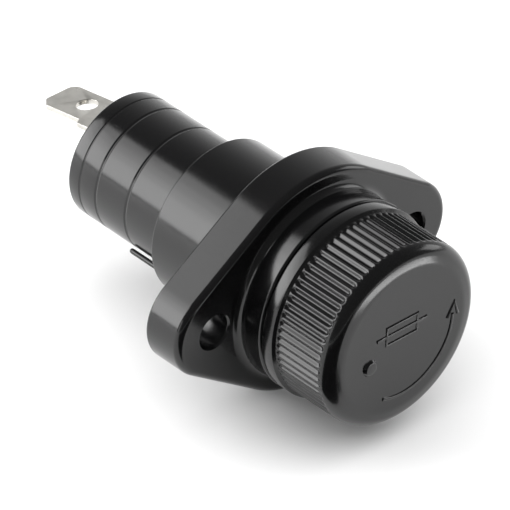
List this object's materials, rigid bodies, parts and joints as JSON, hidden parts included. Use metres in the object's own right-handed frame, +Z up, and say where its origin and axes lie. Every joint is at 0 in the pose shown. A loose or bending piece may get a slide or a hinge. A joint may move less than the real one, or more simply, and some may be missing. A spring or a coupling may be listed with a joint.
{
  "type": "panel mount cartridge fuse holder",
  "caption": "Panel mounting holder for a cylindrical cartridge fuse: stepped black barrel, elongated screw flange, knurled turn-and-lift cap and quick-connect tabs.",
  "frame": {"origin": "on the barrel's axis, in the plane where the back of the flange seats on the panel", "axes": "+Y rearwards along the barrel, into the panel; -Y out towards the user, where the cap is; +X along the flange, through its screw holes; +Z up"},
  "size_m": [0.052, 0.074, 0.0358],
  "materials": {
    "holder_thermoset": "moulded, glossy",
    "cap_thermoset": "moulded, glossy",
    "tin": "tin plated, satin",
    "brass": "bright",
    "nickel": "nickel plated",
    "steel": "plain",
    "rubber": "matt",
    "ceramic": "unglazed, smooth",
    "silver": "silver strip",
    "solder": "satin"
  },
  "bodies": {
    "holder": {"holder_body": "holder_thermoset", "contact_shell": "brass", "side_terminal": "tin", "side_rivet": "nickel", "rear_terminal": "tin", "rear_rivet": "nickel", "spring_seat": "steel"},
    "contact": {"rear_contact": "brass", "contact_spring": "steel"},
    "fuse_carrier": {"fuse_clip": "nickel", "clip_rivet": "nickel", "fuse_tube": "ceramic", "fuse_cap_front": "nickel", "fuse_cap_rear": "nickel", "fuse_element": "silver", "solder_front": "solder", "solder_rear": "solder"},
    "cap_body": {"cap": "cap_thermoset", "cap_sleeve": "brass", "bayonet_pin_right": "steel", "bayonet_pin_left": "steel", "cap_ring": "rubber"}
  },
  "joints": [
    {"name": "withdraw", "type": "slide", "parent": "holder", "child": "fuse_carrier", "axis": [0, -1, 0], "range_m": [0, 0.04]},
    {"name": "cap_turn", "type": "hinge", "parent": "fuse_carrier", "child": "cap_body", "pos_m": [0, 0, 0], "axis": [0, 1, 0], "range_deg": [0, 60]},
    {"name": "contact_press", "type": "slide", "parent": "holder", "child": "contact", "axis": [0, 1, 0], "range_m": [0, 0.002], "stiffness_N_per_m": 1500, "springref_m": -0.005, "deforming": ["contact_spring"]}
  ]
}
